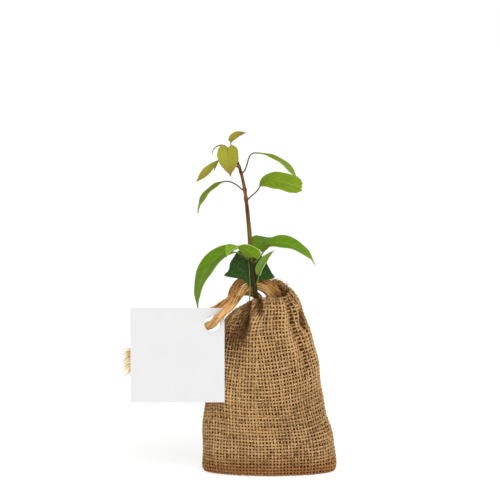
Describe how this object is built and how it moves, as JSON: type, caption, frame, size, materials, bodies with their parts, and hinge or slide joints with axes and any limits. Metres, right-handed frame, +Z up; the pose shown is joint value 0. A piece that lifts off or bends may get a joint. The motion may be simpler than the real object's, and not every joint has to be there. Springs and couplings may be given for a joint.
{
  "type": "sapling in a jute bag",
  "caption": "Young broadleaf sapling rooted in a gathered jute drawstring bag, with a blank square card on the string.",
  "frame": {"origin": "centre of the bag's flat underside, where it stands", "axes": "+Z up along the stem, -Y towards the front that shows the card's face, +X to the right of that front"},
  "size_m": [0.1608, 0.0636, 0.2541],
  "materials": {
    "jute": "coarse plain weave",
    "twine": "soft twisted strand, teased out at the ends",
    "soil": "matte, moist and crumbly",
    "bark": "smooth young bark, reddish above and greyer at the foot",
    "leaf_green": "soft gloss, paler midrib",
    "leaf_young": "soft gloss, olive brown new growth",
    "leaf_dark": "soft gloss, deep green",
    "paper": "matte, blank"
  },
  "bodies": {
    "root": {"jute_bag": "jute", "root_ball": "soil", "stem": "bark", "leaf_top": "leaf_young", "leaf_heart": "leaf_young", "leaf_curl": "leaf_young", "leaf_olive": "leaf_young", "leaf_mid_left": "leaf_green", "leaf_high_right": "leaf_green", "leaf_right": "leaf_green", "leaf_low_left": "leaf_green", "leaf_front_left": "leaf_green", "leaf_back_right": "leaf_green", "leaf_low_right": "leaf_green", "leaf_small": "leaf_green", "leaf_dark": "leaf_dark", "drawstring_front": "twine", "drawstring_rear": "twine", "drawstring_loop": "twine", "fray_front": "twine", "fray_rear": "twine", "card": "paper"}
  },
  "joints": []
}
